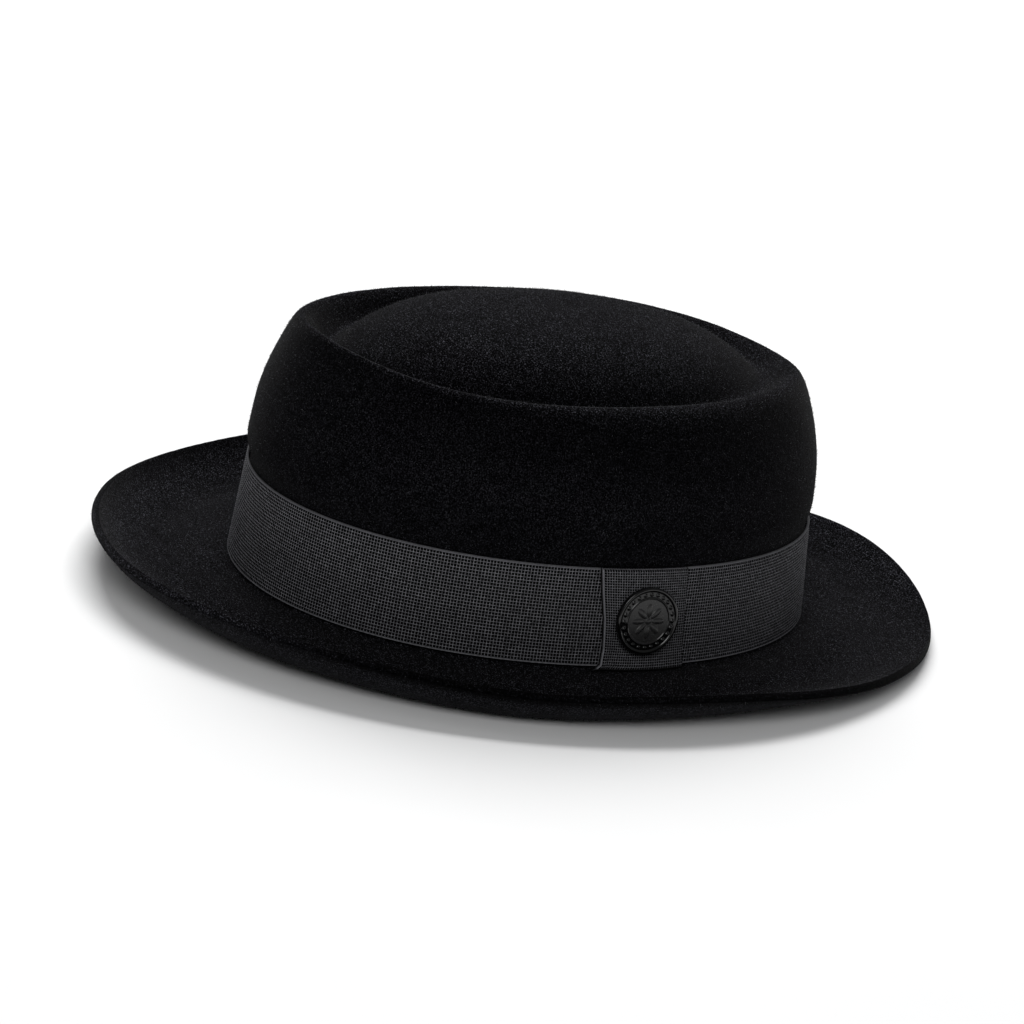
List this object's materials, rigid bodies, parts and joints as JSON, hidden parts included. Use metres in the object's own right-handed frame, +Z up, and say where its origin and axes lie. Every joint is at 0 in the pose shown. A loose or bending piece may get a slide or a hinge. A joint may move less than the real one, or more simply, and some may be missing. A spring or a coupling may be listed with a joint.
{
  "type": "porkpie hat",
  "caption": "Felt porkpie hat with a telescope crown, curled brim, woven ribbon with a keeper, and a round metal badge.",
  "frame": {"origin": "middle of the hat's bounding box in plan, on the table that the brim rests on", "axes": "+Z up, -Y towards the front of the hat, +X towards the wearer's left, where the keeper and badge are"},
  "size_m": [0.26, 0.2964, 0.0998],
  "materials": {
    "felt": "black fur felt with a short soft nap",
    "ribbon": "black woven ribbon with an open square weave",
    "badge_metal": "gloss black cast relief"
  },
  "bodies": {
    "root": {"felt_body": "felt", "ribbon_band": "ribbon", "ribbon_keeper": "ribbon", "pin_badge": "badge_metal"}
  },
  "joints": []
}
